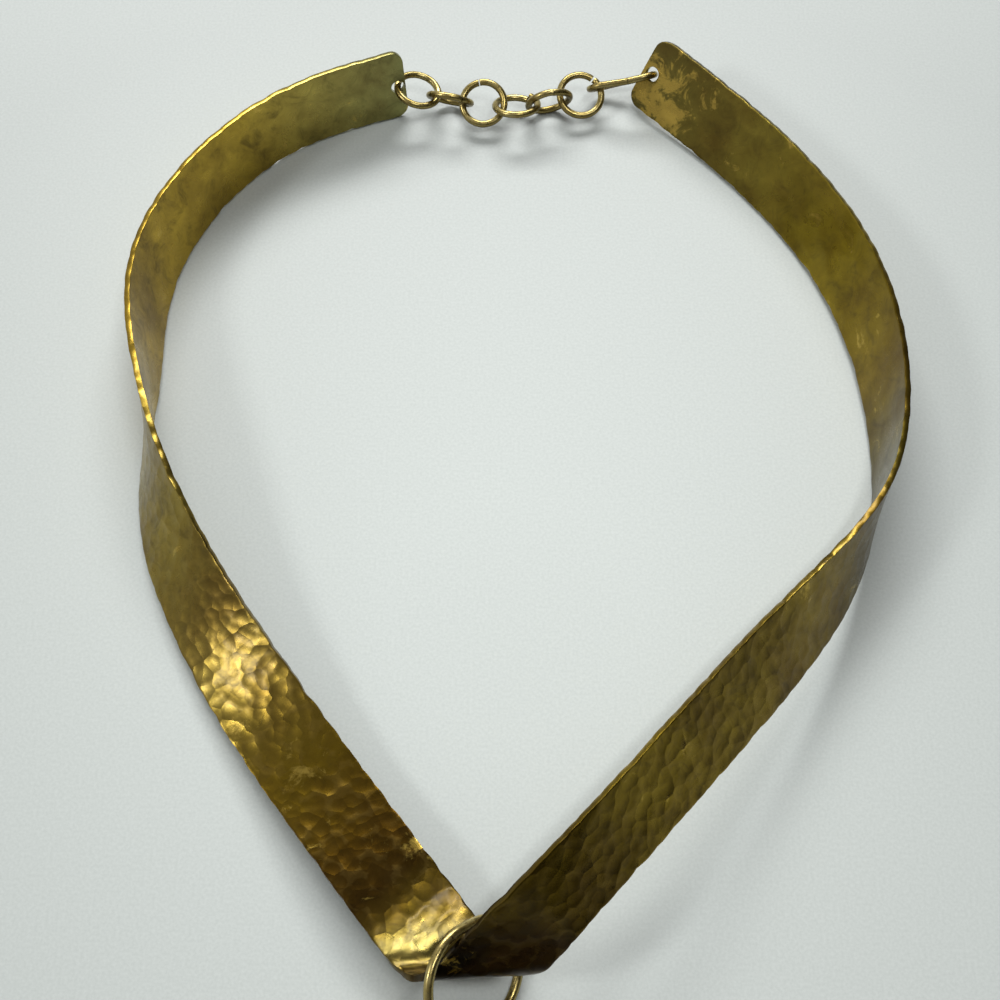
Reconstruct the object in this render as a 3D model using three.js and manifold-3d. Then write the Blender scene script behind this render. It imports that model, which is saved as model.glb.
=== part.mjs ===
// Medallion choker. A flat brass strip is folded over itself at the front and bent round the
// neck on edge. Seven wire links close it behind, and a large wire ring threaded through the
// fold carries a plain round medallion. The choker lies on a flat surface as if just put down.
// Millimetres and degrees, +Z up, the front of the neck towards -Y, the viewer's right +X.
import * as THREE from 'three';
import { mergeVertices } from 'three/addons/utils/BufferGeometryUtils.js';
import Module from 'manifold-3d';

const { degToRad, clamp } = THREE.MathUtils;
const UP = new THREE.Vector3(0, 0, 1);

// Strip: half-inch stock with rounded corners, drilled once near each end.
const STRIP_WIDTH = 13;
const STRIP_THICKNESS = 0.9;
const CORNER_RADIUS = 2.2;
const POINTS_ACROSS = 9;
const STEPS_PER_SPAN = 6;

// Round wire: a lighter gauge for the chain's links than for the pendant ring.
const CHAIN_WIRE = 1.2;
const PENDANT_WIRE = 1.35;
const WIRE_SIDES = 8;
const LOOP_STEPS = 28;

// Fold: the strip wraps round a roll at (x, y), propped clear of the surface by the pendant
// ring's wire. The roll's axis is turned from +X and tilted a little, and the strip crosses it
// on a slant. It leaves the roll dipping towards the left arm, and stays open by a wide angle
// towards the right arm, which lies on top.
const FOLD = {
  x: -3, y: -71.1, lift: 2.7, radius: 3.9, turn: 5, tilt: -7, slant: 35, dip: 10, open: 59,
};
const FOLD_REACH = { left: 12, right: 9.5 };
const FOLD_STEP = 1.1;
const STRAIGHT_LEAD = 7;

// Arms: control points of each arm's middle line from the fold to its end, with the lean of
// its face from upright there, positive where the upper edge is tipped outwards.
const LEFT_ARM = [
  { x: -25.5, y: -48.5, z: 4, lean: -91 },
  { x: -40, y: -29, z: 4.5, lean: -59 },
  { x: -54, y: -4.5, z: 8, lean: -37 },
  { x: -56.5, y: 20.5, z: 7, lean: 16 },
  { x: -59.5, y: 43.5, z: 6.5, lean: 20 },
  { x: -41.5, y: 71, z: 7, lean: 9 },
  { x: -16.8, y: 79.7, z: 6.5, lean: 14 },
];
const RIGHT_ARM = [
  { x: 21.5, y: -52, z: 15.5, lean: -38 },
  { x: 39.5, y: -31, z: 11, lean: -41 },
  { x: 51.5, y: -17, z: 7.5, lean: -23 },
  { x: 61.5, y: 0, z: 6.5, lean: 11 },
  { x: 61.5, y: 32.5, z: 7, lean: 27 },
  { x: 48.5, y: 60.5, z: 5, lean: 36 },
  { x: 25.6, y: 82.9, z: 6.5, lean: 35 },
];

// Drilled holes: diameter, distance from the strip's end and height above its middle line.
const LEFT_HOLE = { diameter: 2.4, inset: 1.4, above: -0.4 };
const RIGHT_HOLE = { diameter: 2.6, inset: 1.9, above: 0 };

// Chain: six jump rings in a shallow sag. Yaw and pitch aim a ring along the chain, and roll
// turns it about the chain, 0 lying flat and 90 standing on edge.
const RING_RADIUS = 3.7;
const CHAIN_RINGS = [
  { x: -14.5, y: 79.15, z: 5, yaw: 0, pitch: -15, roll: 4 },
  { x: -8.85, y: 77.95, z: 4.05, yaw: -9, pitch: -6, roll: 56 },
  { x: -3, y: 77.2, z: 3.85, yaw: -7, pitch: 0, roll: -28 },
  { x: 2.85, y: 76.45, z: 4.05, yaw: 0, pitch: 1, roll: 24 },
  { x: 8.6, y: 77.45, z: 4.05, yaw: 14, pitch: -3, roll: 72 },
  { x: 14.2, y: 79.15, z: 3.7, yaw: 19, pitch: 1, roll: -23 },
];
const HOOK_LINK = {
  x: 21.55, y: 81.3, z: 4.75, yaw: 2, pitch: 17, roll: 50, radius: 2.45, side: 6.8,
};

// Pendant ring: an oval ring askew in the fold. It passes over the left arm, comes down
// through the notch of the V and runs out again under the fold, which rests on its wire.
const PENDANT_RING = {
  x: -3.4, y: -75.4, z: 7, yaw: 35, pitch: -31, roll: -44, radius: 7.3, side: 2.1,
};

// Medallion: a plain disc, hung by a hole near its rim and tipped up a little at the ring.
const MEDALLION = { radius: 22.5, thickness: 1, holeRadius: 1.8, holeInset: 3.1, segments: 40 };
const MEDALLION_HANG = { x: -6, y: -82.5, z: 5.3, tilt: 7.2, yaw: 0 };

// Returns a closed surface over a row of sections with equal point counts. An open row is
// closed by a fan at each end, and a looped row joins its last section to its first.
function loft(sections, looped) {
  const size = sections[0].length;
  const count = sections.length;
  const points = sections.flat();
  const faces = [];
  for (let i = 0; i < (looped ? count : count - 1); i++) {
    for (let j = 0; j < size; j++) {
      const a = i * size + j;
      const b = i * size + ((j + 1) % size);
      const c = ((i + 1) % count) * size + ((j + 1) % size);
      const d = ((i + 1) % count) * size + j;
      faces.push([a, b, c], [a, c, d]);
    }
  }
  if (!looped) {
    const last = (count - 1) * size;
    for (const [start, turn] of [[0, -1], [last, 1]]) {
      const hub = points.length;
      const middle = new THREE.Vector3();
      for (let j = 0; j < size; j++) middle.addScaledVector(points[start + j], 1 / size);
      points.push(middle);
      for (let j = 0; j < size; j++) {
        const near = start + j;
        const next = start + ((j + 1) % size);
        faces.push(turn > 0 ? [hub, near, next] : [hub, next, near]);
      }
    }
  }
  return outward(points, faces);
}

// Builds the geometry of a closed body, turning all its faces round if they point inwards.
function outward(points, faces) {
  const volume = faces.reduce((sum, [a, b, c]) => {
    const side = new THREE.Vector3().crossVectors(points[b], points[c]);
    return sum + points[a].dot(side);
  }, 0);
  const index = faces.flatMap(([a, b, c]) => (volume > 0 ? [a, b, c] : [a, c, b]));
  const geometry = new THREE.BufferGeometry().setFromPoints(points);
  geometry.setIndex(index);
  return geometry;
}

// A point of the fold, s along the strip from its middle and v across it.
function foldPoint(s, v) {
  const turn = degToRad(FOLD.turn);
  const slant = degToRad(FOLD.slant);
  const tilt = degToRad(FOLD.tilt);
  const front = new THREE.Vector3(Math.sin(turn), -Math.cos(turn), 0);
  const axis = new THREE.Vector3(Math.cos(turn), Math.sin(turn), Math.tan(tilt)).normalize();
  const top = new THREE.Vector3().crossVectors(axis, front).negate();
  const around = s * Math.cos(slant) - v * Math.sin(slant);
  const along = s * Math.sin(slant) + v * Math.cos(slant);
  const angle = Math.PI / 2 + around / FOLD.radius;
  const held = clamp(angle, -degToRad(FOLD.dip), Math.PI - degToRad(FOLD.open));
  const past = (angle - held) * FOLD.radius;
  return new THREE.Vector3(FOLD.x, FOLD.y, FOLD.lift + FOLD.radius + STRIP_THICKNESS / 2)
    .addScaledVector(front, FOLD.radius * Math.sin(held) + past * Math.cos(held))
    .addScaledVector(top, -FOLD.radius * Math.cos(held) + past * Math.sin(held))
    .addScaledVector(axis, along);
}

// The level direction outwards from an arm that runs along `tangent`, and the one upright to both.
function uprightFrame(tangent, side) {
  const out = new THREE.Vector3().crossVectors(tangent, UP).normalize().multiplyScalar(side);
  const upright = new THREE.Vector3().crossVectors(out, tangent);
  if (upright.z < 0) upright.negate();
  return { out, upright };
}

// Value and slope of a uniform cubic B-spline over four neighbouring control rows.
function splineAt(rows, t) {
  const u = 1 - t;
  const weights = [u ** 3, 3 * t ** 3 - 6 * t ** 2 + 4, 3 * u ** 3 - 6 * u ** 2 + 4, t ** 3];
  const slopes = [-3 * u ** 2, 9 * t ** 2 - 12 * t, 12 * u - 9 * u ** 2, 3 * t ** 2];
  const value = new THREE.Vector4(0, 0, 0, 0);
  const slope = new THREE.Vector4(0, 0, 0, 0);
  rows.forEach((row, i) => value.addScaledVector(row, weights[i] / 6));
  rows.forEach((row, i) => slope.addScaledVector(row, slopes[i] / 6));
  return { value, slope };
}

// Rows of one arm from the fold outwards: middle point, direction along and direction across.
// side is -1 for the left arm and 1 for the right arm.
function armRows(stations, side) {
  const reach = side < 0 ? -FOLD_REACH.left : FOLD_REACH.right;
  const start = foldPoint(reach, 0);
  const along = foldPoint(reach + side, 0).sub(start);
  const edge = foldPoint(reach + side, -side).sub(foldPoint(reach + side, 0));
  const first = uprightFrame(along, side);
  const lean = THREE.MathUtils.radToDeg(Math.atan2(edge.dot(first.out), edge.dot(first.upright)));
  const lead = [-STRAIGHT_LEAD, 0, STRAIGHT_LEAD].map((distance) => {
    const { x, y, z } = start.clone().addScaledVector(along, distance);
    return new THREE.Vector4(x, y, z, lean);
  });
  const rest = stations.map((row) => new THREE.Vector4(row.x, row.y, row.z, row.lean));
  const beyond = rest.at(-1).clone().multiplyScalar(2).sub(rest.at(-2));
  const controls = [...lead, ...rest, beyond];
  const rows = [];
  for (let span = 0; span + 3 < controls.length; span++) {
    for (let step = span ? 1 : 0; step <= STEPS_PER_SPAN; step++) {
      const { value, slope } = splineAt(controls.slice(span, span + 4), step / STEPS_PER_SPAN);
      const tangent = new THREE.Vector3(slope.x, slope.y, slope.z).normalize();
      const { out, upright } = uprightFrame(tangent, side);
      const tip = degToRad(value.w);
      const across = upright.multiplyScalar(Math.cos(tip)).addScaledVector(out, Math.sin(tip));
      const middle = new THREE.Vector3(value.x, value.y, value.z);
      rows.push({ middle, tangent, across: across.multiplyScalar(-side), half: STRIP_WIDTH / 2 });
    }
  }
  return rows;
}

// Replaces the last row of an arm by a few narrowing ones that round the strip's corners.
function roundEnd(rows) {
  const end = rows.pop();
  for (const share of [1, 0.5, 0.15, 0]) {
    const back = share * CORNER_RADIUS;
    const rise = Math.sqrt(CORNER_RADIUS ** 2 - (CORNER_RADIUS - back) ** 2);
    const middle = end.middle.clone().addScaledVector(end.tangent, -back);
    rows.push({ ...end, middle, half: STRIP_WIDTH / 2 - CORNER_RADIUS + rise });
  }
  return end;
}

// Cutter through a hole near the strip's end, square to the strip's face.
const CUTTER = { length: 4, sides: 24 };
function drill(end, hole, side) {
  const centre = end.middle.clone();
  centre.addScaledVector(end.tangent, -hole.inset);
  centre.addScaledVector(end.across, -side * hole.above);
  const normal = new THREE.Vector3().crossVectors(end.tangent, end.across);
  const radius = hole.diameter / 2;
  const cutter = new THREE.CylinderGeometry(radius, radius, CUTTER.length, CUTTER.sides);
  const turn = new THREE.Quaternion().setFromUnitVectors(new THREE.Vector3(0, 1, 0), normal);
  cutter.applyQuaternion(turn);
  cutter.translate(centre.x, centre.y, centre.z);
  return cutter;
}

const wasm = await Module();
wasm.setup();

// Closed geometry to an exact solid for cutting, and back.
function toSolid(geometry) {
  const bare = geometry.clone();
  bare.deleteAttribute('normal');
  bare.deleteAttribute('uv');
  const merged = mergeVertices(bare);
  const mesh = new wasm.Mesh({
    numProp: 3,
    vertProperties: merged.attributes.position.array,
    triVerts: Uint32Array.from(merged.index.array),
  });
  return new wasm.Manifold(mesh);
}

function fromSolid(solid) {
  const mesh = solid.getMesh();
  const geometry = new THREE.BufferGeometry();
  geometry.setAttribute('position', new THREE.BufferAttribute(mesh.vertProperties, 3));
  geometry.setIndex(new THREE.BufferAttribute(mesh.triVerts, 1));
  return geometry;
}

// The whole strip: its middle surface thickened evenly to both sides, then drilled.
function neckbandGeometry() {
  const left = armRows(LEFT_ARM, -1);
  const right = armRows(RIGHT_ARM, 1);
  const leftEnd = roundEnd(left);
  const rightEnd = roundEnd(right);
  const share = (j) => (2 * j) / (POINTS_ACROSS - 1) - 1;
  const spread = ({ middle, across, half }) => Array.from({ length: POINTS_ACROSS }, (_, j) =>
    middle.clone().addScaledVector(across, half * share(j)));
  const steps = Math.round((FOLD_REACH.left + FOLD_REACH.right) / FOLD_STEP);
  const foldRows = [];
  for (let i = 1; i < steps; i++) {
    const s = -FOLD_REACH.left + ((FOLD_REACH.left + FOLD_REACH.right) * i) / steps;
    foldRows.push(Array.from({ length: POINTS_ACROSS }, (_, j) =>
      foldPoint(s, (STRIP_WIDTH / 2) * share(j))));
  }
  const grid = [...left.reverse().map(spread), ...foldRows, ...right.map(spread)];
  const sections = grid.map((row, i) => {
    const before = grid[Math.max(i - 1, 0)];
    const after = grid[Math.min(i + 1, grid.length - 1)];
    const normals = row.map((_, j) => {
      const across = row[Math.min(j + 1, row.length - 1)].clone().sub(row[Math.max(j - 1, 0)]);
      return after[j].clone().sub(before[j]).cross(across).normalize();
    });
    const face = row.map((p, j) => p.clone().addScaledVector(normals[j], STRIP_THICKNESS / 2));
    const back = row.map((p, j) => p.clone().addScaledVector(normals[j], -STRIP_THICKNESS / 2));
    return [...face, ...back.reverse()];
  });
  const strip = toSolid(loft(sections, false));
  const leftCut = toSolid(drill(leftEnd, LEFT_HOLE, -1));
  const rightCut = toSolid(drill(rightEnd, RIGHT_HOLE, 1));
  return fromSolid(strip.subtract(leftCut).subtract(rightCut));
}

// A closed loop of round wire in the XY plane: two half circles joined by straight sides
// along X, or a plain ring where the sides have no length.
function wireLoop(radius, side, wire) {
  const sections = [];
  for (let i = 0; i < LOOP_STEPS; i++) {
    const angle = (2 * Math.PI * (i + 0.5)) / LOOP_STEPS;
    const outwards = new THREE.Vector3(Math.cos(angle), Math.sin(angle), 0);
    const centre = outwards.clone().multiplyScalar(radius);
    centre.x += (Math.sign(outwards.x) * side) / 2;
    sections.push(Array.from({ length: WIRE_SIDES }, (_, j) => {
      const around = (2 * Math.PI * j) / WIRE_SIDES;
      return centre.clone()
        .addScaledVector(outwards, (wire / 2) * Math.cos(around))
        .addScaledVector(UP, (wire / 2) * Math.sin(around));
    }));
  }
  return loft(sections, true);
}

// The medallion's outline with its hole at the origin, the disc below it in the XY plane.
function medallionGeometry() {
  const shape = new THREE.Shape();
  shape.absarc(0, MEDALLION.holeInset - MEDALLION.radius, MEDALLION.radius, 0, 2 * Math.PI);
  const hole = new THREE.Path();
  hole.absarc(0, 0, MEDALLION.holeRadius, 0, 2 * Math.PI, true);
  shape.holes.push(hole);
  return new THREE.ExtrudeGeometry(shape, {
    depth: MEDALLION.thickness,
    bevelEnabled: false,
    curveSegments: MEDALLION.segments,
  });
}

const patinaBrass = new THREE.MeshStandardMaterial({ color: 0x6e5a1e, roughness: 0.38, metalness: 1 });
const wireBrass = new THREE.MeshStandardMaterial({ color: 0xa8935c, roughness: 0.3, metalness: 1 });
const discBrass = new THREE.MeshStandardMaterial({ color: 0x78642a, roughness: 0.38, metalness: 1 });

function named(name, geometry, material) {
  const mesh = new THREE.Mesh(geometry, material);
  mesh.name = name;
  return mesh;
}

// Places a wire loop: yaw and pitch aim its long axis, and roll turns it about that axis.
function wireLink(name, geometry, place) {
  const mesh = named(name, geometry, wireBrass);
  mesh.rotation.order = 'ZYX';
  mesh.rotation.set(-degToRad(place.roll), -degToRad(place.pitch), degToRad(place.yaw));
  mesh.position.set(place.x, place.y, place.z);
  return mesh;
}

const laid = new THREE.Group();
laid.add(named('neckband', neckbandGeometry(), patinaBrass));

CHAIN_RINGS.forEach((place, i) => {
  laid.add(wireLink(`chain_ring_${i + 1}`, wireLoop(RING_RADIUS, 0, CHAIN_WIRE), place));
});
const hookLoop = wireLoop(HOOK_LINK.radius, HOOK_LINK.side, CHAIN_WIRE);
laid.add(wireLink('hook_link', hookLoop, HOOK_LINK));

const pendantLoop = wireLoop(PENDANT_RING.radius, PENDANT_RING.side, PENDANT_WIRE);
laid.add(wireLink('pendant_ring', pendantLoop, PENDANT_RING));

const medallion = named('medallion', medallionGeometry(), discBrass);
medallion.rotation.order = 'ZYX';
medallion.rotation.set(degToRad(MEDALLION_HANG.tilt), 0, degToRad(MEDALLION_HANG.yaw));
medallion.position.set(MEDALLION_HANG.x, MEDALLION_HANG.y, MEDALLION_HANG.z);
laid.add(medallion);

// The origin is under the middle of the whole choker, on the surface that it lies on.
laid.updateMatrixWorld(true);
const box = new THREE.Box3().setFromObject(laid, true);
const middle = box.getCenter(new THREE.Vector3());
laid.position.set(-middle.x, -middle.y, -box.min.z);

const choker = new THREE.Group();
choker.add(laid);

export default choker;
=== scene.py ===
from math import atan2, ceil, cos, degrees, hypot, pi, radians, sin, tan

import bpy
import numpy as np
from mathutils import Euler, Matrix, Vector


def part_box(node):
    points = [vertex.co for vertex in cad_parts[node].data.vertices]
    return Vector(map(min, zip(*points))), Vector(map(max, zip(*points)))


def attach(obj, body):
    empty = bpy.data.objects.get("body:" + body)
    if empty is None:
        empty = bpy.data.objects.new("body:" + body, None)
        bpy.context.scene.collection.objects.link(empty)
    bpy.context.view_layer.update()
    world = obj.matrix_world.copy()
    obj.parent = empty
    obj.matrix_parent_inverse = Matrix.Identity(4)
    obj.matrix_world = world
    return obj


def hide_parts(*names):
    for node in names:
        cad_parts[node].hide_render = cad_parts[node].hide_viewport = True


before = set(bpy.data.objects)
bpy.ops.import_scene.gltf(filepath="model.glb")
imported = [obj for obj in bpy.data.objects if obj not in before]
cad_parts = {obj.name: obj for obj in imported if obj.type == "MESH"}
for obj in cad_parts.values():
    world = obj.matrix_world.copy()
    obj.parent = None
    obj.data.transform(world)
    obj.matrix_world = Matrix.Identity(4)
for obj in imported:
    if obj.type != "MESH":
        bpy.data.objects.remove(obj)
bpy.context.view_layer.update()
bpy.ops.object.select_all(action="DESELECT")

# Neckband. A single strip of half-inch sheet brass, planished all over with a round-faced
# hammer, folded over itself at the front and bent round the neck on edge. Its arrises are
# filed, its corners rounded, and a hole is drilled near each end. Left to tarnish.
MM = 0.001
STRIP = {"width": 13.0, "thickness": 0.9, "corner": 2.2, "arris": 0.13}
FOLD = {
    "x": -3, "y": -71.1, "lift": 2.7, "radius": 3.9,
    "turn": 5, "tilt": -7, "slant": 35, "dip": 10, "open": 59,
}
FOLD_REACH = {"left": 12.0, "right": 9.5}
STRAIGHT_LEAD = 7.0
PITCH = {"front": 0.34, "back": 0.5, "corner": 0.3}
ACROSS = 39

# The middle line of each arm, station by station from the fold to its end. The columns are
# x, y and z in millimetres, and the face's lean outwards from upright in degrees.
LEFT_ARM = [
    (-25.5, -48.5, 4, -91),
    (-40, -29, 4.5, -59),
    (-54, -4.5, 8, -37),
    (-56.5, 20.5, 7, 16),
    (-59.5, 43.5, 6.5, 20),
    (-41.5, 71, 7, 9),
    (-16.8, 79.7, 6.5, 14),
]
RIGHT_ARM = [
    (21.5, -52, 15.5, -38),
    (39.5, -31, 11, -41),
    (51.5, -17, 7.5, -23),
    (61.5, 0, 6.5, 11),
    (61.5, 32.5, 7, 27),
    (48.5, 60.5, 5, 36),
    (25.6, 82.9, 6.5, 35),
]
FRONT_SPANS = 4
HOLES = [
    {"end": "left", "diameter": 2.4, "inset": 1.4, "above": -0.4},
    {"end": "right", "diameter": 2.6, "inset": 1.9, "above": 0.0},
]


def fold_point(s, v):
    """Where a point of the fold lies, s along the strip from its middle and v across it."""
    turn, slant, tilt = (radians(FOLD[k]) for k in ("turn", "slant", "tilt"))
    front = Vector((sin(turn), -cos(turn), 0))
    axis = Vector((cos(turn), sin(turn), tan(tilt))).normalized()
    top = -axis.cross(front)
    around = s * cos(slant) - v * sin(slant)
    along = s * sin(slant) + v * cos(slant)
    angle = pi / 2 + around / FOLD["radius"]
    held = min(max(angle, -radians(FOLD["dip"])), pi - radians(FOLD["open"]))
    past = (angle - held) * FOLD["radius"]
    centre = Vector((FOLD["x"], FOLD["y"], FOLD["lift"] + FOLD["radius"] + STRIP["thickness"] / 2))
    return (centre + front * (FOLD["radius"] * sin(held) + past * cos(held))
            + top * (past * sin(held) - FOLD["radius"] * cos(held)) + axis * along)


def arm_frame(tangent, side):
    """The outward and the upright direction square to an arm's line."""
    out = tangent.cross(Vector((0, 0, 1))).normalized() * side
    upright = out.cross(tangent)
    return out, upright * (1 if upright.z > 0 else -1)


def arm_rows(stations, side):
    """Middle, tangent and across direction of one arm, row by row from the fold outwards."""
    reach = FOLD_REACH["right"] if side > 0 else -FOLD_REACH["left"]
    start = fold_point(reach, 0)
    along = fold_point(reach + side, 0) - start
    edge = fold_point(reach + side, -side) - fold_point(reach + side, 0)
    out, upright = arm_frame(along, side)
    lean = degrees(atan2(edge.dot(out), edge.dot(upright)))
    lead = [(*(start + along * d), lean) for d in (-STRAIGHT_LEAD, 0, STRAIGHT_LEAD)]
    controls = [Vector(row) for row in lead + stations]
    controls.append(controls[-1] * 2 - controls[-2])
    rows = []
    for span in range(len(controls) - 3):
        near = controls[span:span + 4]
        pitch = PITCH["front"] if span < FRONT_SPANS else PITCH["back"]
        steps = ceil((near[2] - near[1]).xyz.length / pitch)
        for step in range(1 if span else 0, steps + 1):
            t = step / steps
            u = 1 - t
            weights = (u**3, 3 * t**3 - 6 * t**2 + 4, 3 * u**3 - 6 * u**2 + 4, t**3)
            slopes = (-3 * u**2, 9 * t**2 - 12 * t, 12 * u - 9 * u**2, 3 * t**2)
            value = sum((p * w for p, w in zip(near, weights)), Vector((0, 0, 0, 0))) / 6
            slope = sum((p * w for p, w in zip(near, slopes)), Vector((0, 0, 0, 0)))
            tangent = slope.xyz.normalized()
            out, upright = arm_frame(tangent, side)
            tip = radians(value.w)
            across = (upright * cos(tip) + out * sin(tip)) * -side
            rows.append({"middle": value.xyz, "tangent": tangent, "across": across,
                         "half": STRIP["width"] / 2})
    return rows


def round_end(rows):
    """Narrows the last rows of an arm so that the strip's corners are quarter circles."""
    end = rows[-1]
    radius = STRIP["corner"]
    while (rows[-1]["middle"] - end["middle"]).length < radius:
        rows.pop()
    steps = ceil(radius / PITCH["corner"])
    for step in range(steps + 1):
        back = radius * (1 - sin(pi / 2 * step / steps))
        rise = (radius**2 - (radius - back)**2)**0.5
        half = STRIP["width"] / 2 - radius + rise
        rows.append({**end, "middle": end["middle"] - end["tangent"] * back, "half": half})
    return end


def share(j):
    """Place of point j across the strip, from -1 to 1."""
    return 2 * j / (ACROSS - 1) - 1


def spread(rows):
    """The points across each row of an arm."""
    return [[r["middle"] + r["across"] * r["half"] * share(j) for j in range(ACROSS)] for r in rows]


left_rows = arm_rows(LEFT_ARM, -1)
right_rows = arm_rows(RIGHT_ARM, 1)
ends = {"left": round_end(left_rows), "right": round_end(right_rows)}
fold_length = FOLD_REACH["left"] + FOLD_REACH["right"]
fold_steps = round(fold_length / PITCH["front"])
fold_rows = [[fold_point(fold_length * i / fold_steps - FOLD_REACH["left"], STRIP["width"] / 2 * share(j))
              for j in range(ACROSS)] for i in range(1, fold_steps)]
sheet = np.array(spread(left_rows[::-1]) + fold_rows + spread(right_rows))
middle = sheet[:, ACROSS // 2]
station = np.concatenate([[0], np.cumsum(np.linalg.norm(np.diff(middle, axis=0), axis=1))])
length = station[-1]
fold_at = station[len(left_rows) + fold_steps // 2]
crosswise = np.gradient(sheet, axis=1)
normal = np.cross(np.gradient(sheet, axis=0), crosswise)
normal /= np.linalg.norm(normal, axis=2, keepdims=True)
crosswise /= np.linalg.norm(crosswise, axis=2, keepdims=True)
reach = np.linalg.norm(sheet - middle[:, None], axis=2) * np.sign([share(j) for j in range(ACROSS)])

bpy.ops.mesh.primitive_grid_add(x_subdivisions=len(sheet) - 1, y_subdivisions=ACROSS - 1, size=2)
neckband = bpy.context.object
neckband.name = "neckband_hammered"
flat = np.empty(len(neckband.data.vertices) * 3)
neckband.data.vertices.foreach_get("co", flat)
flat = flat.reshape(-1, 3)
row = np.rint((flat[:, 0] + 1) / 2 * (len(sheet) - 1)).astype(int)
column = np.rint((flat[:, 1] + 1) / 2 * (ACROSS - 1)).astype(int)
neckband.data.vertices.foreach_set("co", (sheet[row, column] * MM).ravel())
corners = np.empty(len(neckband.data.loops), int)
neckband.data.loops.foreach_get("vertex_index", corners)
uv = np.stack([station[row], reach[row, column]], 1)[corners] / STRIP["width"]
neckband.data.uv_layers.active.data.foreach_set("uv", uv.ravel())


def apply_modifier(piece, kind, **settings):
    """Adds one modifier to a piece and applies it."""
    modifier = piece.modifiers.new(kind.title(), kind)
    for name, value in settings.items():
        setattr(modifier, name, value)
    bpy.context.view_layer.objects.active = piece
    bpy.ops.object.modifier_apply(modifier=modifier.name)


SQUARE_EDGE = radians(60)
apply_modifier(neckband, "SOLIDIFY", thickness=STRIP["thickness"] * MM, offset=0, use_even_offset=True)
apply_modifier(neckband, "BEVEL", width=STRIP["arris"] * MM, segments=2, limit_method="ANGLE",
               angle_limit=SQUARE_EDGE)

# Hammer marks: each blow leaves a shallow round dish, and the deepest dish wins, so that the
# ridges between neighbouring blows stay up as crisp arcs. The inner face of the arms was only
# flattened, and the blows near the edges spread the metal, so that the outline is wavy.
BLOWS = {"spacing": 2.3, "ball": 18, "deepest": 0.025, "seed": 11}
FLATTENED = {"spacing": 4.2, "ball": 90, "deepest": 0.006, "seed": 5}
EDGE_BLOWS = {"spacing": 2.6, "ball": 5.5, "deepest": 0.04, "seed": 23}
OUT_OF_LINE = 0.42
EDGE_BAND = {"from": 0.72, "outside": 1, "shift": 3, "share": 0.6}
MEAN_DEPTH = {"beaten": 0.02, "flattened": 0.005, "edge": 0.05}
INNER_FACE_AT = 37.0
HARDEST = {"from": (-135, -105), "to": (-4, 6), "elsewhere": 0.62}
FOLD_BEATEN = (10, 16)
ROUND_THE_EDGE = (-0.6, 0.6)
SWAY = {"height": 0.05, "short_wave": 5.3, "long_wave": 13.7, "skew": 0.4, "start": 1.3}
RIDGE = {"height": 0.05, "foot": 0.3}
ARRIS = (0.55, 0.98)
RUBBED_BARE = {"right_end": (45, 8), "left_end": (4, 20), "left_share": 0.4}


def dishes(u, v, spacing, ball, deepest, seed):
    """Height of the beaten face at (u, v) in millimetres, and a number from 0 to 1 for its blow.

    The blows fall row by row, a little out of line, and a dish is as round as the hammer's ball."""
    draw = np.random.default_rng(seed)
    rows_before = 3
    size = (int(u.max() / spacing) + rows_before + 5, int(np.ptp(v) / spacing) + 10)
    half_width = size[1] // 2
    shift = draw.uniform(-OUT_OF_LINE, OUT_OF_LINE, (*size, 2))
    depth = draw.uniform(0, deepest, size)
    shade = draw.random(size)
    i0 = np.floor(u / spacing).astype(int) + rows_before
    j0 = np.floor(v / spacing).astype(int) + half_width
    best = np.full(len(u), np.inf)
    blow = np.zeros(len(u))
    for di in (-2, -1, 0, 1, 2):
        for dj in (-2, -1, 0, 1, 2):
            i = np.clip(i0 + di, 0, size[0] - 1)
            j = np.clip(j0 + dj, 0, size[1] - 1)
            du = u - (i - rows_before + 0.5 + shift[i, j, 0]) * spacing
            dv = v - (j - half_width + 0.5 * (i % 2) + shift[i, j, 1]) * spacing
            height = (du**2 + dv**2) / (2 * ball) - depth[i, j]
            deeper = height < best
            best = np.where(deeper, height, best)
            blow = np.where(deeper, shade[i, j], blow)
    return best, blow


def smooth(low, high, x):
    """0 below low, 1 above high and a smooth rise between."""
    t = np.clip((x - low) / (high - low), 0, 1)
    return t * t * (3 - 2 * t)


def ridges(deep):
    """How far up a ridge between blows each point is, from 0 to 1."""
    return np.clip(deep / RIDGE["height"] + RIDGE["foot"], 0, 1)


def arrises(side):
    """How near to the filed arris each point is, from 0 to 1."""
    return 1 - smooth(*ARRIS, np.abs(side))


def mark_points(mesh, **marks):
    """Stores values at the points of a mesh, for its finish to read."""
    for name, values in marks.items():
        attribute = mesh.attributes.new(name, "FLOAT", "POINT")
        attribute.data.foreach_set("value", values.astype(np.float32))


mesh = neckband.data
co = np.empty(len(mesh.vertices) * 3)
mesh.vertices.foreach_get("co", co)
co = co.reshape(-1, 3)
corners = np.empty(len(mesh.loops), int)
mesh.loops.foreach_get("vertex_index", corners)
uv = np.empty(len(mesh.loops) * 2)
mesh.uv_layers.active.data.foreach_get("uv", uv)
place = np.zeros((len(co), 2))
place[corners] = uv.reshape(-1, 2) * STRIP["width"]
u, v = place.T
row = np.clip(np.searchsorted(station, u), 0, len(sheet) - 1)
over = v / np.maximum(reach[row, -1], 1e-6)
column = np.clip(np.rint((over + 1) / 2 * (ACROSS - 1)), 0, ACROSS - 1).astype(int)
facing = normal[row, column]
off = np.einsum("ij,ij->i", co / MM - sheet[row, column], facing) / (STRIP["thickness"] / 2)
side = np.clip(off, -1, 1)
from_fold = u - fold_at
outer = np.where(from_fold < 0, side, -side)
in_fold = 1 - smooth(*FOLD_BEATEN, np.abs(from_fold))
worked = np.clip(smooth(*ROUND_THE_EDGE, outer) + in_fold, 0, 1)
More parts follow.
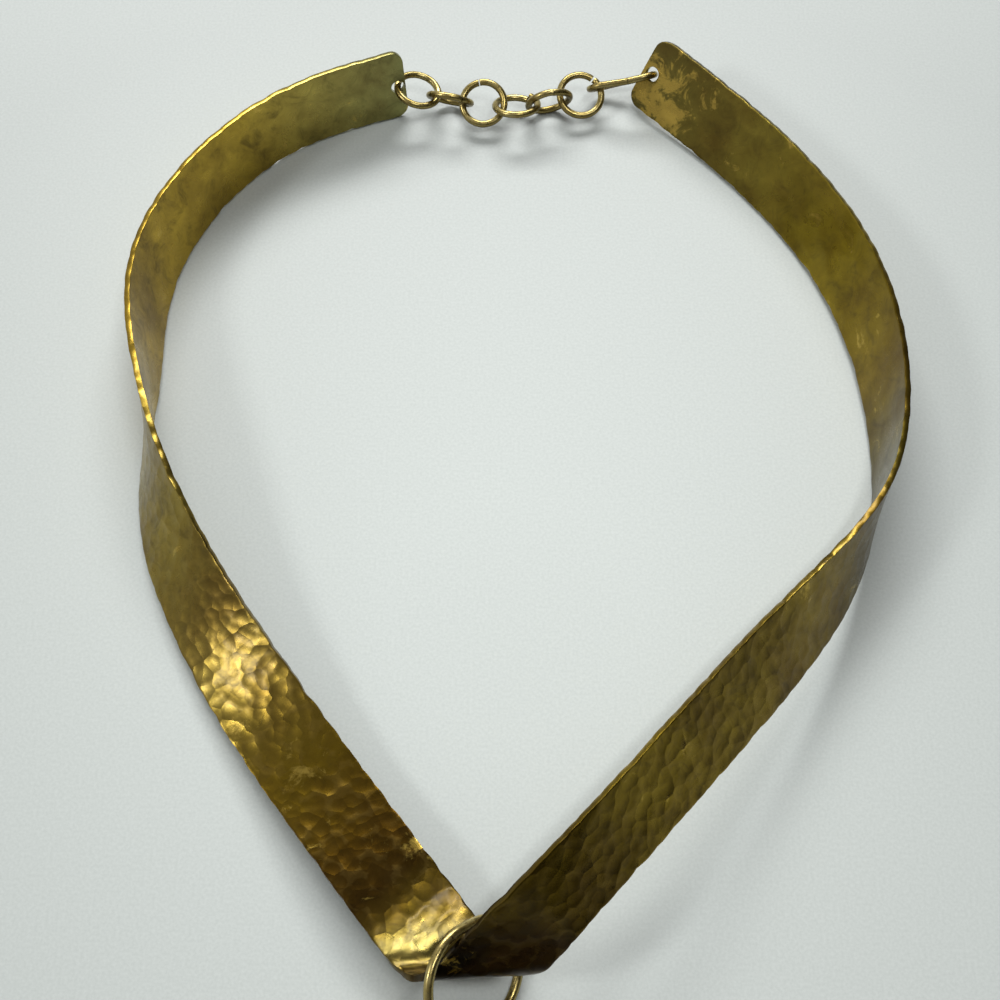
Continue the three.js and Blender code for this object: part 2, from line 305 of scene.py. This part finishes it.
left_front = smooth(*HARDEST["from"], from_fold) * (1 - smooth(*HARDEST["to"], from_fold))
strength = worked * (HARDEST["elsewhere"] + (1 - HARDEST["elsewhere"]) * left_front)
face_start = np.where(side > 0, 0.0, INNER_FACE_AT)
deep, blow = dishes(u + face_start, v, **BLOWS)
soft, _ = dishes(u + face_start, v, **FLATTENED)
rise = strength * (deep - MEAN_DEPTH["beaten"]) + (1 - worked) * (soft - MEAN_DEPTH["flattened"])
sway = (SWAY["height"] * np.sin(u / SWAY["short_wave"] + SWAY["skew"] * v)
        * np.sin(u / SWAY["long_wave"] + SWAY["start"]))
co += facing * ((side * rise + sway) * MM)[:, None]
edge = smooth(EDGE_BAND["from"], 1, np.abs(v) / (STRIP["width"] / 2)) * np.sign(v)
outside = np.sign(v) * (STRIP["width"] / 2 + EDGE_BAND["outside"])
outline, _ = dishes(u + EDGE_BAND["shift"] * np.sign(v), outside, **EDGE_BLOWS)
wave = edge * (outline - MEAN_DEPTH["edge"]) * EDGE_BAND["share"]
co -= crosswise[row, column] * (wave * MM)[:, None]
mesh.vertices.foreach_set("co", co.ravel())
rubbed_right = smooth(*(length - back for back in RUBBED_BARE["right_end"]), u)
rubbed_left = RUBBED_BARE["left_share"] * (1 - smooth(*RUBBED_BARE["left_end"], u))
# In the fold the course runs along the fold line, so that the tone's painted highlight and painted shade lie
# parallel to it.
mark_points(
    mesh,
    course=(u - v * tan(radians(FOLD["slant"])) * in_fold) / length,
    bare=rubbed_right + rubbed_left,
    ridge=ridges(deep) * worked,
    blow=blow,
    arris=arrises(side),
    worked=worked,
)

# The strip is set down where the frame has it, its holes are drilled, and its faces shaded
# smooth up to the arrises.
DRILL = {"sides": 48, "length": 4}
SMOOTH_UP_TO = {"sheet": radians(35), "wire": radians(40)}


def drill_hole(piece, diameter, place):
    """Drills a round hole through a piece of sheet, along the Z direction of place."""
    bpy.ops.mesh.primitive_cylinder_add(vertices=DRILL["sides"], radius=diameter / 2 * MM,
                                        depth=DRILL["length"] * MM)
    drill = bpy.context.object
    drill.data.transform(place)
    apply_modifier(piece, "BOOLEAN", object=drill, operation="DIFFERENCE", solver="EXACT")
    bpy.data.objects.remove(drill)


def shade_smooth(piece, angle):
    """Shades a piece smooth but for edges sharper than the angle."""
    bpy.ops.object.select_all(action="DESELECT")
    piece.select_set(True)
    bpy.ops.object.shade_smooth_by_angle(angle=angle)


to_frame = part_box("neckband")[0] - Vector(co.min(0))
neckband.data.transform(Matrix.Translation(to_frame))
for hole in HOLES:
    end = ends[hole["end"]]
    outward = -1 if hole["end"] == "left" else 1
    centre = end["middle"] - end["tangent"] * hole["inset"] - end["across"] * hole["above"] * outward
    aim_drill = end["tangent"].cross(end["across"]).to_track_quat("Z", "Y").to_matrix().to_4x4()
    drill_hole(neckband, hole["diameter"], Matrix.Translation(centre * MM + to_frame) @ aim_drill)
shade_smooth(neckband, SMOOTH_UP_TO["sheet"])


def colour_from_255(red, green, blue):
    """A finish's colour from its 0 to 255 values."""
    return (*((c / 255 / 12.92 if c / 255 < 0.04045 else ((c / 255 + 0.055) / 1.055)**2.4)
              for c in (red, green, blue)), 1)


def add_node(tree, kind, links=None, **settings):
    """Adds a shader node. links gives an input its value or the output that feeds it."""
    made = tree.nodes.new(kind)
    for name, value in settings.items():
        setattr(made, name, value)
    for name, value in (links or {}).items():
        if isinstance(value, bpy.types.NodeSocket):
            tree.links.new(value, made.inputs[name])
        else:
            made.inputs[name].default_value = value
    return made


def add_ramp(tree, factor, stops):
    """A colour ramp: stops are (place, colour)."""
    ramp = add_node(tree, "ShaderNodeValToRGB", {"Fac": factor})
    while len(ramp.color_ramp.elements) < len(stops):
        ramp.color_ramp.elements.new(0.5)
    for element, (at, colour) in zip(ramp.color_ramp.elements, stops):
        element.position = at
        element.color = colour if len(colour) == 4 else (*colour, 1)
    return ramp.outputs["Color"]


def mixed(tree, share_of_second, first, second, blend="MIX"):
    """Two colours mixed."""
    mix = add_node(tree, "ShaderNodeMix", data_type="RGBA", blend_type=blend)
    for index, value in ((0, share_of_second), (6, first), (7, second)):
        if isinstance(value, bpy.types.NodeSocket):
            tree.links.new(value, mix.inputs[index])
        else:
            mix.inputs[index].default_value = value
    return mix.outputs[2]


def metal(name, roughness):
    """A new all-metal material, its tree and its shader."""
    material = bpy.data.materials.new(name)
    material.use_nodes = True
    tree = material.node_tree
    shader = tree.nodes["Principled BSDF"]
    shader.inputs["Metallic"].default_value = 1
    shader.inputs["Roughness"].default_value = roughness
    return material, tree, shader


def grey(level):
    """A grey of a ramp that drives a share or a roughness."""
    return level, level, level, 1


hammered_brass, tree, shader = metal("aged_hammered_brass", 0.34)
shader.inputs["Coat Weight"].default_value = 0.15
shader.inputs["Coat Roughness"].default_value = 0.16
where = add_node(tree, "ShaderNodeTexCoord")
spots = where.outputs["Object"]
course = add_node(tree, "ShaderNodeAttribute", attribute_name="course")
# The tone along the strip is its tarnish from end to end, except across the fold. There, the gold band at
# about 0.46 to 0.48 is a painted highlight, and the near-black patch just past it, at about 0.48 to 0.52, is
# painted shade.
tone = add_ramp(tree, course.outputs["Fac"], [
    (0.00, colour_from_255(146, 146, 90)),
    (0.08, colour_from_255(178, 150, 54)),
    (0.19, colour_from_255(184, 152, 54)),
    (0.25, colour_from_255(152, 132, 56)),
    (0.34, colour_from_255(130, 112, 50)),
    (0.39, colour_from_255(116, 94, 20)),
    (0.425, colour_from_255(80, 58, 8)),
    (0.446, colour_from_255(60, 42, 6)),
    (0.460, colour_from_255(104, 86, 24)),
    (0.473, colour_from_255(150, 136, 72)),
    (0.483, colour_from_255(80, 66, 22)),
    (0.493, colour_from_255(46, 36, 11)),
    (0.502, colour_from_255(22, 16, 5)),
    (0.509, colour_from_255(9, 6, 2)),
    (0.519, colour_from_255(38, 29, 6)),
    (0.535, colour_from_255(108, 88, 16)),
    (0.59, colour_from_255(148, 124, 34)),
    (0.70, colour_from_255(128, 108, 38)),
    (0.76, colour_from_255(90, 80, 24)),
    (0.81, colour_from_255(134, 110, 30)),
    (0.87, colour_from_255(156, 134, 36)),
    (0.93, colour_from_255(132, 118, 44)),
    (1.00, colour_from_255(106, 96, 46)),
])
clouds = add_node(tree, "ShaderNodeTexNoise", {"Vector": spots, "Scale": 62, "Detail": 7, "Roughness": 0.66})
stains = add_node(tree, "ShaderNodeTexNoise", {"Vector": spots, "Scale": 240, "Detail": 9, "Roughness": 0.72,
                                               "Distortion": 0.8})
cloud_share = add_ramp(tree, clouds.outputs["Fac"], [(0.42, grey(0)), (0.66, grey(0.6))])
colour = mixed(tree, cloud_share, tone, colour_from_255(74, 50, 14))
stain_share = add_ramp(tree, stains.outputs["Fac"], [(0.5, grey(0)), (0.7, grey(0.55))])
colour = mixed(tree, stain_share, colour, colour_from_255(58, 48, 22))
patchy = add_node(tree, "ShaderNodeMath", {0: clouds.outputs["Fac"], 1: stains.outputs["Fac"]},
                  operation="ADD")
bare = add_node(tree, "ShaderNodeAttribute", attribute_name="bare")
worn = add_node(tree, "ShaderNodeMath", {0: bare.outputs["Fac"], 1: -0.13, 2: patchy.outputs[0]},
                operation="MULTIPLY_ADD")
worn_share = add_ramp(tree, worn.outputs[0], [(0.0, grey(0.9)), (0.77, grey(0.75)), (0.85, grey(0))])
colour = mixed(tree, worn_share, colour, colour_from_255(196, 166, 76))
ridge = add_node(tree, "ShaderNodeAttribute", attribute_name="ridge")
ridge_share = add_ramp(tree, ridge.outputs["Fac"], [(0.8, grey(0)), (1.0, grey(0.1))])
colour = mixed(tree, ridge_share, colour, colour_from_255(160, 134, 70))
blows = add_node(tree, "ShaderNodeAttribute", attribute_name="blow")
blow_shade = add_ramp(tree, blows.outputs["Fac"], [(0, grey(0.95)), (1, grey(1.05))])
colour = mixed(tree, 1, colour, blow_shade, "MULTIPLY")
arris = add_node(tree, "ShaderNodeAttribute", attribute_name="arris")
arris_share = add_ramp(tree, arris.outputs["Fac"], [(0.05, grey(0)), (0.6, grey(0.9))])
colour = mixed(tree, arris_share, colour, colour_from_255(222, 200, 142))
tree.links.new(colour, shader.inputs["Base Color"])
dull = add_ramp(tree, stains.outputs["Fac"], [(0.3, grey(0.22)), (0.75, grey(0.42))])
tree.links.new(dull, shader.inputs["Roughness"])
grain = add_node(tree, "ShaderNodeTexNoise", {"Vector": spots, "Scale": 1400, "Detail": 4, "Roughness": 0.6})
bump = add_node(tree, "ShaderNodeBump", {"Height": grain.outputs["Fac"], "Strength": 0.12,
                                         "Distance": 0.00008})
taps = add_node(tree, "ShaderNodeTexVoronoi", {"Vector": where.outputs["UV"], "Scale": 6.4},
                voronoi_dimensions="2D")
bowls = add_node(tree, "ShaderNodeMath", {0: taps.outputs["Distance"], 1: 2}, operation="POWER")
struck = add_node(tree, "ShaderNodeAttribute", attribute_name="worked")
marks = add_node(tree, "ShaderNodeMath", {0: bowls.outputs[0], 1: struck.outputs["Fac"]},
                 operation="MULTIPLY")
beaten = add_node(tree, "ShaderNodeBump", {"Height": marks.outputs[0], "Normal": bump.outputs["Normal"],
                                           "Strength": 0.6, "Distance": 0.00016})
tree.links.new(beaten.outputs["Normal"], shader.inputs["Normal"])
neckband.data.materials.clear()
neckband.data.materials.append(hammered_brass)
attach(neckband, "root")
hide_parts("neckband")

# Chain. Six round jump rings of brass wire and one long oval link, each wound on a rod, sawn
# off and pinched shut by hand, so that the sawn ends show and some don't quite meet. Places,
# gaps and steps are in millimetres, and turns and cuts in degrees.
CHAIN_WIRE = 1.2
RING_RADIUS = 3.7
LINK_COLUMNS = ("x", "y", "z", "yaw", "pitch", "roll", "cut", "gap", "step")
CHAIN = {
    "chain_ring_1": (-14.5, 79.15, 5, 0, -15, 4, 185, 0.12, 0.1),
    "chain_ring_2": (-8.85, 77.95, 4.05, -9, -6, 56, 300, 0.15, 0.15),
    "chain_ring_3": (-3, 77.2, 3.85, -7, 0, -28, 105, 0.15, 0.1),
    "chain_ring_4": (2.85, 76.45, 4.05, 0, 1, 24, 50, 0.3, 0.9),
    "chain_ring_5": (8.6, 77.45, 4.05, 14, -3, 72, 270, 0.12, 0.1),
    "chain_ring_6": (14.2, 79.15, 3.7, 19, 1, -23, 30, 0.35, 0.2),
    "hook_link": (21.55, 81.3, 4.75, 2, 17, 50, 271, 0.1, 0.4),
}
HOOK = {"radius": 2.45, "side": 6.8}
WIRE_SIDES = 20
TURN_STEPS = 72
PULLED_APART = 0.06


def wound_link(name, radius, side, wire, cut, gap, step):
    """A link of round wire in the XY plane: wound, drawn out by the length of its sides, sawn
    through at the angle cut, and pinched shut to a gap, with one end a step above the other."""
    bpy.ops.object.select_all(action="DESELECT")
    bpy.ops.mesh.primitive_circle_add(vertices=WIRE_SIDES, radius=wire / 2 * MM, fill_type="NGON",
                                      location=(radius * MM, 0, 0), rotation=(pi / 2, 0, 0))
    link = bpy.context.object
    link.name = name
    bpy.ops.object.transform_apply()
    in_side = abs(cos(radians(cut))) < PULLED_APART
    opening = gap / (radius + (side / 2 / PULLED_APART if in_side else 0))
    bpy.ops.object.mode_set(mode="EDIT")
    bpy.ops.mesh.select_all(action="SELECT")
    bpy.ops.mesh.spin(steps=TURN_STEPS, angle=2 * pi - opening, center=(0, 0, 0), axis=(0, 0, 1))
    bpy.ops.mesh.select_all(action="SELECT")
    bpy.ops.mesh.remove_doubles(threshold=wire / 1000 * MM)
    bpy.ops.mesh.select_all(action="DESELECT")
    bpy.ops.mesh.select_non_manifold()
    bpy.ops.mesh.edge_face_add()
    bpy.ops.mesh.select_all(action="SELECT")
    bpy.ops.mesh.normals_make_consistent(inside=False)
    bpy.ops.object.mode_set(mode="OBJECT")
    turn = Matrix.Rotation(radians(cut) + opening / 2, 3, "Z")
    for vertex in link.data.vertices:
        angle = atan2(vertex.co.y, vertex.co.x)
        past = (angle if angle >= -1e-4 else angle + 2 * pi) / (2 * pi - opening) - 0.5
        vertex.co.z += step * MM * 4 * past**3
        vertex.co = turn @ vertex.co
        stretch = max(-1, min(1, vertex.co.x / (PULLED_APART * radius * MM)))
        vertex.co.x += stretch * side / 2 * MM
    return link


wire_brass, tree, shader = metal("wire_brass_polished_by_wear", 0.3)
spots = add_node(tree, "ShaderNodeTexCoord").outputs["Object"]
clouds = add_node(tree, "ShaderNodeTexNoise", {"Vector": spots, "Scale": 420, "Detail": 5, "Roughness": 0.6})
colour = add_ramp(tree, clouds.outputs["Fac"], [
    (0.3, colour_from_255(190, 174, 118)),
    (0.52, colour_from_255(168, 150, 92)),
    (0.75, colour_from_255(140, 122, 68)),
])
# Painted shade: the wire turns darker brown where its face turns sideways and down.
surface = add_node(tree, "ShaderNodeNewGeometry")
height = add_node(tree, "ShaderNodeSeparateXYZ", {"Vector": surface.outputs["Normal"]})
painted_underside_shade = add_ramp(tree, height.outputs["Z"], [(0.0, grey(0.7)), (0.55, grey(0))])
colour = mixed(tree, painted_underside_shade, colour, colour_from_255(78, 62, 28))
tree.links.new(colour, shader.inputs["Base Color"])
streaks = add_node(tree, "ShaderNodeTexNoise", {"Vector": spots, "Scale": 1800, "Detail": 3})
rough = add_ramp(tree, streaks.outputs["Fac"], [(0.3, grey(0.22)), (0.7, grey(0.38))])
tree.links.new(rough, shader.inputs["Roughness"])
bump = add_node(tree, "ShaderNodeBump", {"Height": streaks.outputs["Fac"], "Strength": 0.05,
                                         "Distance": 0.00003})
tree.links.new(bump.outputs["Normal"], shader.inputs["Normal"])


def hang_link(link, node_name, at):
    """Turns a wire link to its place in the frame and makes it stand for its CAD node."""
    turn = Euler((-radians(at["roll"]), -radians(at["pitch"]), radians(at["yaw"])), "XYZ")
    place = Matrix.Translation(Vector((at["x"], at["y"], at["z"])) * MM + to_frame)
    link.data.transform(place @ turn.to_matrix().to_4x4())
    shade_smooth(link, SMOOTH_UP_TO["wire"])
    link.data.materials.clear()
    link.data.materials.append(wire_brass)
    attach(link, "root")
    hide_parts(node_name)


for node_name, values in CHAIN.items():
    link = dict(zip(LINK_COLUMNS, values))
    radius, side_length = (HOOK["radius"], HOOK["side"]) if node_name == "hook_link" else (RING_RADIUS, 0)
    wire_link = wound_link(f"{node_name}_wire", radius, side_length, CHAIN_WIRE,
                           link["cut"], link["gap"], link["step"])
    hang_link(wire_link, node_name, link)

# Pendant ring. A large oval ring of slightly heavier brass wire, wound, closed and soldered,
# that passes through the fold of the strip and carries the medallion.
PENDANT_RING = {
    "x": -3.4, "y": -75.4, "z": 7, "yaw": 35, "pitch": -31, "roll": -44,
    "radius": 7.3, "side": 2.1, "wire": 1.35, "cut": 200, "gap": 0.02, "step": 0,
}
MAKE_COLUMNS = ("radius", "side", "wire", "cut", "gap", "step")
ring = wound_link("pendant_ring_wire", *(PENDANT_RING[name] for name in MAKE_COLUMNS))
hang_link(ring, "pendant_ring", PENDANT_RING)

# Medallion. A plain round disc sawn from sheet brass, planished on both faces, with a filed
# rim and a drilled hole for the ring. It bears no design.
DISC = {"radius": 22.5, "thickness": 1.0, "hole": 3.6, "inset": 3.1, "arris": 0.18, "cells": 150}
HANG = {"x": -6, "y": -82.5, "z": 5.3, "tilt": 7.2}
PLANISHED = {"spacing": 2.8, "ball": 22, "deepest": 0.02, "seed": 3}
FINISH_LIKE = {"course": 0.16, "spread": 0.05}
bpy.ops.object.select_all(action="DESELECT")
bpy.ops.mesh.primitive_grid_add(x_subdivisions=DISC["cells"], y_subdivisions=DISC["cells"], size=2)
medallion = bpy.context.object
medallion.name = "medallion_planished"
for vertex in medallion.data.vertices:
    x, y = vertex.co.xy
    square = max(abs(x), abs(y))
    reach_out = hypot(x, y)
    blend = square / reach_out if reach_out > 0 else 1
    vertex.co.x = x * blend * DISC["radius"] * MM
    vertex.co.y = (y * blend * DISC["radius"] + DISC["inset"] - DISC["radius"]) * MM
apply_modifier(medallion, "SOLIDIFY", thickness=DISC["thickness"] * MM, offset=0)
apply_modifier(medallion, "BEVEL", width=DISC["arris"] * MM, segments=2, limit_method="ANGLE",
               angle_limit=SQUARE_EDGE)
for vertex in medallion.data.vertices:
    vertex.co.z += DISC["thickness"] / 2 * MM
co = np.array([vertex.co for vertex in medallion.data.vertices]) / MM
side = np.clip((co[:, 2] - DISC["thickness"] / 2) / (DISC["thickness"] / 2), -1, 1)
face_start = np.where(side > 0, 1, 3) * DISC["radius"]
deep, blow = dishes(co[:, 0] + face_start, co[:, 1] + DISC["radius"] - DISC["inset"], **PLANISHED)
co[:, 2] += side * (deep - MEAN_DEPTH["beaten"])
medallion.data.vertices.foreach_set("co", (co * MM).ravel())
corners = np.empty(len(medallion.data.loops), int)
medallion.data.loops.foreach_get("vertex_index", corners)
uv = (co[:, :2] / STRIP["width"])[corners]
medallion.data.uv_layers.active.data.foreach_set("uv", uv.ravel())
mark_points(
    medallion.data,
    course=FINISH_LIKE["course"] + FINISH_LIKE["spread"] * co[:, 0] / DISC["radius"],
    worked=np.ones(len(co)),
    ridge=ridges(deep),
    blow=blow,
    arris=arrises(side),
)
drill_hole(medallion, DISC["hole"], Matrix())
shade_smooth(medallion, SMOOTH_UP_TO["sheet"])
place = Matrix.Translation(Vector((HANG["x"], HANG["y"], HANG["z"])) * MM + to_frame)
medallion.data.transform(place @ Matrix.Rotation(radians(HANG["tilt"]), 4, "X"))
medallion.data.materials.clear()
medallion.data.materials.append(hammered_brass)
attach(medallion, "root")
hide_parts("medallion")

# Table, camera and light. The choker lies on a pale matt table top, under a wide window behind
# it, a small one at its left and a strip light overhead.
TABLE_SIDE = 6
bpy.ops.object.select_all(action="DESELECT")
bpy.ops.mesh.primitive_plane_add(size=TABLE_SIDE)
table = bpy.context.object
table.name = "table_top"
table_paint = bpy.data.materials.new("pale_table")
table_paint.use_nodes = True
tree = table_paint.node_tree
shader = tree.nodes["Principled BSDF"]
spots = add_node(tree, "ShaderNodeTexCoord").outputs["Object"]
speckle = add_node(tree, "ShaderNodeTexNoise", {"Vector": spots, "Scale": 2200, "Detail": 2})
grain = add_ramp(tree, speckle.outputs["Fac"], [(0.3, (0.605, 0.65, 0.622)), (0.7, (0.67, 0.715, 0.687))])
# Painted shade: the table top is painted darker from its middle outwards, as light falling off towards its
# edges.
outwards = add_node(tree, "ShaderNodeVectorMath", {0: spots}, operation="LENGTH")
painted_falloff_shade = add_ramp(tree, outwards.outputs["Value"], [(0.02, grey(1)), (0.13, grey(0.76))])
tree.links.new(mixed(tree, 1, grain, painted_falloff_shade, "MULTIPLY"), shader.inputs["Base Color"])
shader.inputs["Roughness"].default_value = 0.5
table.data.materials.append(table_paint)

band_low, band_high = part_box("neckband")
CAMERA = {"left_of_middle": 1.84, "behind_front": 76.11, "elevation": 62, "distance": 0.267, "lens": 61.2}
aim = Vector(((band_low.x + band_high.x) / 2 - CAMERA["left_of_middle"] * MM,
              band_low.y + CAMERA["behind_front"] * MM, band_low.z))
elevation = radians(CAMERA["elevation"])
bpy.ops.object.camera_add(location=aim + Vector((0, -cos(elevation), sin(elevation))) * CAMERA["distance"])
camera = bpy.context.object
camera.rotation_euler = (aim - camera.location).to_track_quat("-Z", "Y").to_euler()
camera.data.lens = CAMERA["lens"]
camera.data.sensor_width = 36
camera.data.clip_start = 0.01
bpy.context.scene.camera = camera

LAMPS = [
    {"name": "window_behind", "at": (-0.05, 0.95, 0.8), "size": (0.9, 0.35), "power": 13},
    {"name": "window_left", "at": (-0.8, -0.16, 0.72), "size": (0.22, 0.18), "power": 2.5},
    {"name": "ceiling_strip", "at": (0.22, -0.17, 1.0), "size": (0.36, 0.08), "power": 2.3},
]
for lamp in LAMPS:
    bpy.ops.object.light_add(type="AREA", location=lamp["at"])
    light = bpy.context.object
    light.name = lamp["name"]
    light.data.shape = "RECTANGLE"
    light.data.size, light.data.size_y = lamp["size"]
    light.data.energy = lamp["power"]
    light.rotation_euler = (aim - light.location).to_track_quat("-Z", "Y").to_euler()

world = bpy.data.worlds.new("studio")
world.use_nodes = True
bpy.context.scene.world = world
tree = world.node_tree
sky = add_node(tree, "ShaderNodeTexCoord").outputs["Generated"]
WINDOW_SIDE = (-0.85, 0.25, 0.1)
towards_window = add_node(tree, "ShaderNodeVectorMath", {0: sky, 1: WINDOW_SIDE}, operation="DOT_PRODUCT")
share_lit = add_node(tree, "ShaderNodeMath", {0: towards_window.outputs["Value"], 1: 0.5, 2: 0.5},
                     operation="MULTIPLY_ADD")
glow = add_ramp(tree, share_lit.outputs[0], [(0.12, grey(0.04)), (0.55, grey(0.2)), (0.95, grey(0.5))])
tree.links.new(glow, tree.nodes["Background"].inputs["Color"])
bpy.context.scene.view_settings.view_transform = "Standard"
